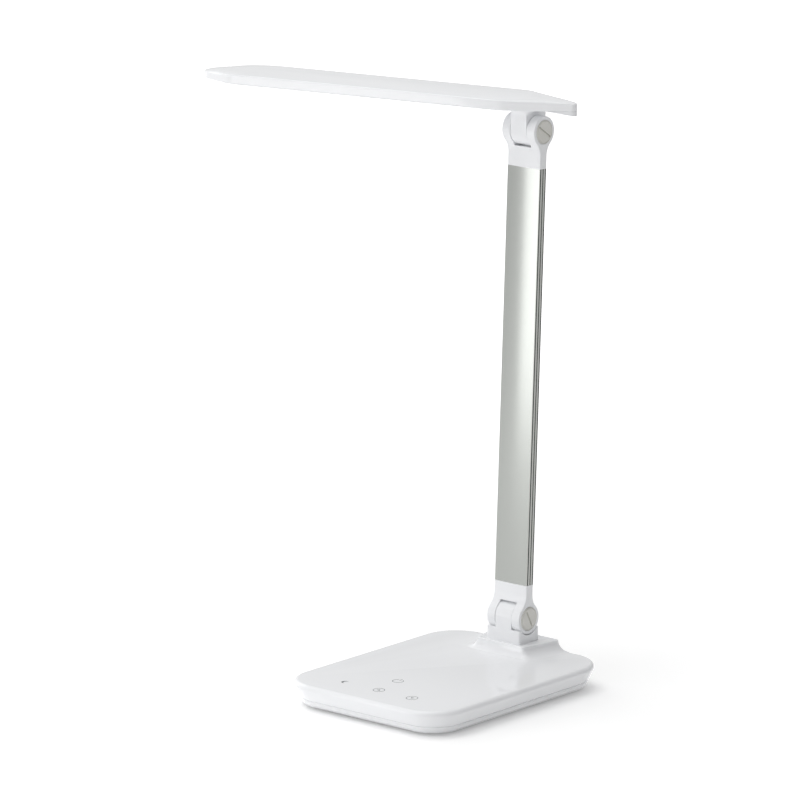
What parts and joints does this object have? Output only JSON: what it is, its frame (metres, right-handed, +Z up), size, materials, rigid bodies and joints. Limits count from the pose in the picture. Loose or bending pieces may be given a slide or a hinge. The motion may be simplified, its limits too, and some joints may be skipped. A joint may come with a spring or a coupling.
{
  "type": "folding led desk lamp",
  "caption": "Folding LED desk lamp: weighted touch-control base, flat extruded arm on friction hinges, slim swivelling light bar.",
  "frame": {"origin": "centre of the base's footprint, on the desk", "axes": "+Z up, -Y towards the user at the touch signs, +X to the user's right"},
  "size_m": [0.3105, 0.1941, 0.396],
  "materials": {
    "white_abs_gloss": "glossy white moulding with a few fine scratches",
    "white_abs_satin": "semi-gloss white moulding",
    "anodised_aluminium": "satin anodised extrusion",
    "back_aluminium": "bare rolled sheet",
    "warm_grey_plastic": "satin warm grey cover",
    "soft_rubber": "matt pale grey non-slip ring",
    "raw_steel": "plain pressed plate",
    "zinc_steel": "zinc plated",
    "spring_steel": "blued spring steel",
    "spring_brass": "plain",
    "friction_nylon": "matt black nylon",
    "circuit_board": "solder-masked board",
    "black_plastic": "matt black",
    "white_cable": "flat two-core lead",
    "opal_diffuser": "opal, slightly translucent",
    "clear_acrylic": "clear plate",
    "white_film": "white reflective film",
    "led_phosphor": "phosphor dome"
  },
  "bodies": {
    "base": {"base_top_shell": "white_abs_gloss", "base_bottom_tray": "white_abs_gloss", "foot_ring": "soft_rubber", "ballast_plate": "raw_steel", "ballast_screws": "zinc_steel", "base_screws": "zinc_steel", "control_board": "circuit_board", "board_screws": "zinc_steel", "touch_springs": "spring_brass", "dc_jack": "black_plastic", "hinge_plate": "zinc_steel", "block_screws": "zinc_steel", "hinge_block": "white_abs_satin"},
    "arm": {"arm_profile": "anodised_aluminium", "arm_lead": "white_cable", "clevis_screws": "zinc_steel", "lower_clevis": "white_abs_satin", "lower_pin": "zinc_steel", "lower_pin_nut": "zinc_steel", "lower_spring_washers": "spring_steel", "lower_friction_washers": "friction_nylon", "lower_covers": "warm_grey_plastic", "upper_clevis": "white_abs_satin", "upper_pin": "zinc_steel", "upper_pin_nut": "zinc_steel", "upper_spring_washers": "spring_steel", "upper_friction_washers": "friction_nylon", "upper_covers": "warm_grey_plastic"},
    "knuckle": {"head_knuckle": "white_abs_satin", "swivel_tube": "zinc_steel", "swivel_washer": "friction_nylon", "swivel_nut": "zinc_steel"},
    "head": {"head_top_shell": "white_abs_satin", "head_bottom_frame": "white_abs_satin", "diffuser": "opal_diffuser", "light_guide": "clear_acrylic", "reflector_sheet": "white_film", "led_bars": "circuit_board", "led_chips": "led_phosphor", "back_plate": "back_aluminium", "head_screws": "zinc_steel"}
  },
  "joints": [
    {"name": "arm_fold", "type": "hinge", "parent": "base", "child": "arm", "pos_m": [0, 0.0713, 0.041], "axis": [1, 0, 0], "range_deg": [-12.4, 92.4]},
    {"name": "head_tilt", "type": "hinge", "parent": "arm", "child": "knuckle", "pos_m": [0, 0.08525, 0.37371], "axis": [1, 0, 0], "range_deg": [-47.6, 87.6]},
    {"name": "head_swivel", "type": "hinge", "parent": "knuckle", "child": "head", "pos_m": [0, 0.08525, 0.38911], "axis": [0, 0, 1], "range_deg": [-12.5, 167.5]}
  ]
}
